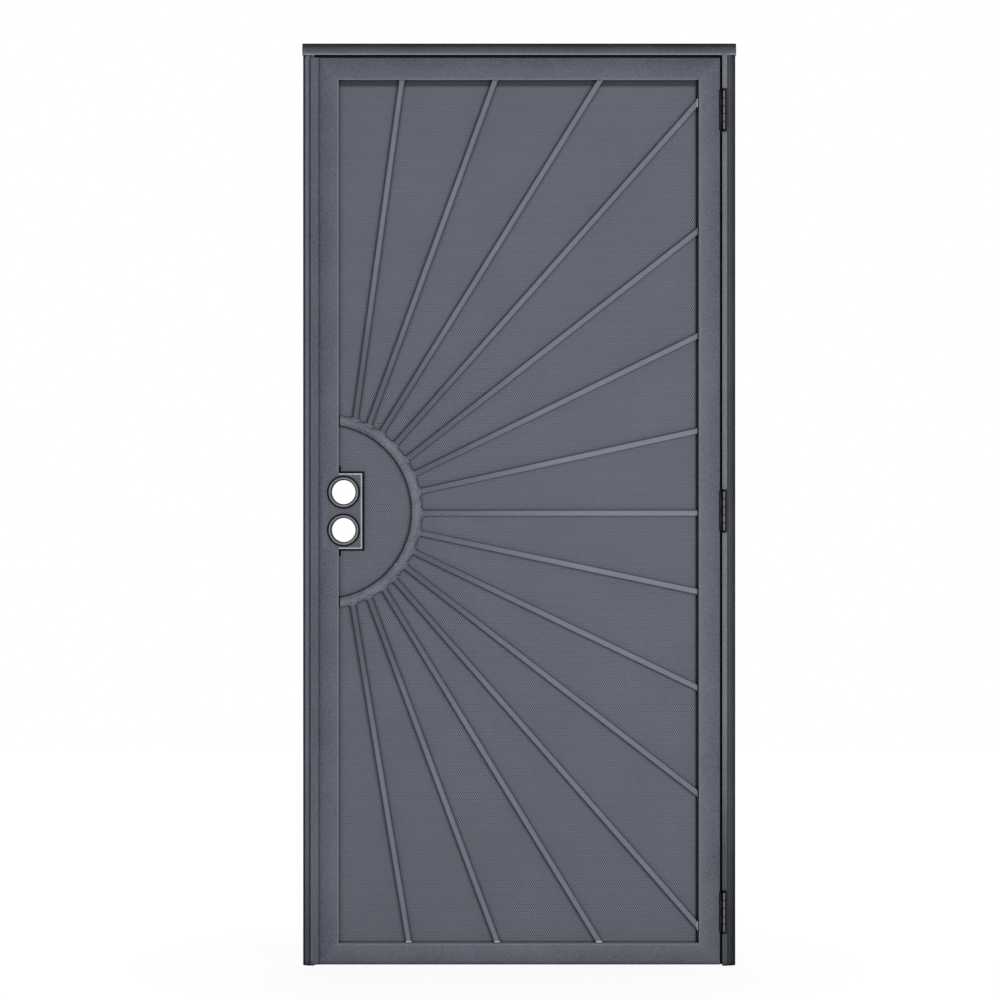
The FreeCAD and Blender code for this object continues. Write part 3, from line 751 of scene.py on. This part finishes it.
def makeScrew(shape):
    # head up along Z, with a cross recess
    bpy.ops.object.select_all(action="DESELECT")
    bpy.ops.mesh.primitive_cylinder_add(
        vertices=shape["sides"], radius=shape["radius"], depth=shape["height"], location=(0, 0, shape["height"] / 2))
    screw = bpy.context.object
    bpy.ops.object.transform_apply(location=True, rotation=True, scale=True)
    for edge in screw.data.edges:
        edge.select = all(screw.data.vertices[v].co.z > shape["height"] * 0.9 for v in edge.vertices)
    for face in screw.data.polygons:
        face.select = False
    editMode(True)
    bpy.ops.mesh.bevel(offset=shape["bevel"], segments=shape["bevelSteps"], profile=shape["bevelBulge"])
    editMode(False)
    for turn in (0, math.pi / 2):
        bpy.ops.object.select_all(action="DESELECT")
        bpy.ops.mesh.primitive_cube_add(size=1, location=(0, 0, shape["height"]), rotation=(0, 0, turn),
                                        scale=(shape["recess"], shape["slot"], shape["depth"] * 2))
        cutter = bpy.context.object
        applyModifier(screw, "BOOLEAN", object=cutter, operation="DIFFERENCE", solver="EXACT")
        bpy.data.objects.remove(cutter)
    pickOnly(screw)
    bpy.ops.object.shade_smooth_by_angle(angle=math.radians(shape["smoothAngle"]))
    return screw


def spread(low, high, count):
    first, last = low + screwShape["margin"], high - screwShape["margin"]
    return [first + (last - first) * n / (count - 1) for n in range(count)]


screw = makeScrew(screwShape)
screws = []
for name in ("top_retainer", "bottom_retainer"):
    low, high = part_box(name)
    for x in spread(low.x, high.x, screwShape["across"]):
        screws.append(copyAt(screw, axes(Vector((x, high.y, (low.z + high.z) / 2)), level, behind)))
low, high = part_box("hinge_retainer")
for z in spread(low.z, high.z, screwShape["tall"]):
    screws.append(copyAt(screw, axes(Vector(((low.x + high.x) / 2, high.y, z)), level, behind)))
low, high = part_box("lock_retainer")
for start, end in ((low.z, boxLow.z), (boxHigh.z, high.z)):
    for z in spread(start, end, screwShape["short"]):
        screws.append(copyAt(screw, axes(Vector(((low.x + high.x) / 2, high.y, z)), level, behind)))
joinAs("retainerScrews", screws, "leaf", leafCoat)
bpy.data.objects.remove(screw)
print("retainer screws set")

# Stage: pale floor, white surround, soft lights and the camera
stageLook = {"floorSize": 14.0, "floorWhite": 0.86, "floorGlow": 1.06, "mattShare": 0.13, "mattNear": 0.4,
             "mattFar": 1.7, "ambient": (0.95, 0.97, 1.0, 1.0), "ambientStrength": 0.26}
lightRig = {
    "keyLight": {"place": (1.2, -4.6, 1.3), "size": 2.2, "power": 122},
    "fillLight": {"place": (-2.4, -4.6, 0.8), "size": 2.6, "power": 64},
    "backLight": {"place": (-0.4, 4.6, 1.5), "size": 2.6, "power": 130},
}
photoView = {"pixels": 1000, "metresPerPixel": 0.0022415, "centreX": -0.5157, "centreZ": 1.0444,
             "eyeX": -0.4727, "eyeZ": 1.0352, "distance": 8.0, "sensor": 36.0}


def seenDirectly(wire):
    # 1 for rays that show the background itself
    camera = wire.node("ShaderNodeLightPath", {}, {}, "Is Camera Ray")
    glossy = wire.node("ShaderNodeLightPath", {}, {}, "Is Glossy Ray")
    clear = wire.node("ShaderNodeLightPath", {}, {}, "Is Transmission Ray")
    return wire.math("MAXIMUM", camera, wire.math("MAXIMUM", glossy, clear))


def paleFloor(look):
    material, wire = startMaterial("paleFloor")
    white = (look["floorWhite"],) * 3 + (1.0,)
    matt = wire.node("ShaderNodeBsdfDiffuse", {}, {"Color": white})
    glow = wire.node("ShaderNodeEmission", {}, {"Strength": look["floorGlow"]})
    spot = wire.node("ShaderNodeTexCoord", {}, {}, "Object")
    away = wire.node("ShaderNodeVectorMath", {"operation": "LENGTH"}, {0: spot}, "Value")
    near = wire.node("ShaderNodeMapRange", {"interpolation_type": "SMOOTHSTEP"}, {
        "Value": away, "From Min": look["mattFar"], "From Max": look["mattNear"]})
    glowing = seenDirectly(wire) * (1 - near * look["mattShare"])
    both = wire.node("ShaderNodeMixShader", {}, {0: glowing, 1: matt, 2: glow})
    wire.node("ShaderNodeOutputMaterial", {}, {"Surface": both})
    return material


bpy.ops.object.select_all(action="DESELECT")
bpy.ops.mesh.primitive_plane_add(size=stageLook["floorSize"], location=(photoView["centreX"], 0, 0))
floor = bpy.context.object
floor.name = "paleFloor"
floor.data.materials.append(paleFloor(stageLook))

world = bpy.data.worlds.new("whiteSurround")
bpy.context.scene.world = world
world.use_nodes = True
world.node_tree.nodes.clear()
wire = Wire(world.node_tree)
dim = wire.node("ShaderNodeBackground", {}, {
    "Color": stageLook["ambient"], "Strength": stageLook["ambientStrength"]})
white = wire.node("ShaderNodeBackground", {}, {"Color": (1, 1, 1, 1), "Strength": 1.0})
both = wire.node("ShaderNodeMixShader", {}, {0: seenDirectly(wire), 1: dim, 2: white})
wire.node("ShaderNodeOutputWorld", {}, {"Surface": both})

target = Vector((photoView["centreX"], leafFront, photoView["centreZ"]))
for name, light in lightRig.items():
    bpy.ops.object.light_add(type="AREA", location=light["place"])
    lamp = bpy.context.object
    lamp.name = name
    lamp.data.size = light["size"]
    lamp.data.energy = light["power"]
    lamp.rotation_euler = (target - lamp.location).to_track_quat("-Z", "Y").to_euler()

span = photoView["pixels"] * photoView["metresPerPixel"]
bpy.ops.object.camera_add(
    location=(photoView["eyeX"], leafFront - photoView["distance"], photoView["eyeZ"]), rotation=(math.pi / 2, 0, 0))
camera = bpy.context.object
camera.data.sensor_width = photoView["sensor"]
camera.data.lens = photoView["sensor"] * photoView["distance"] / span
camera.data.shift_x = (photoView["centreX"] - photoView["eyeX"]) / span
camera.data.shift_y = (photoView["centreZ"] - photoView["eyeZ"]) / span
bpy.context.scene.camera = camera
bpy.context.scene.view_settings.view_transform = "Standard"
print("stage, lights and camera set")
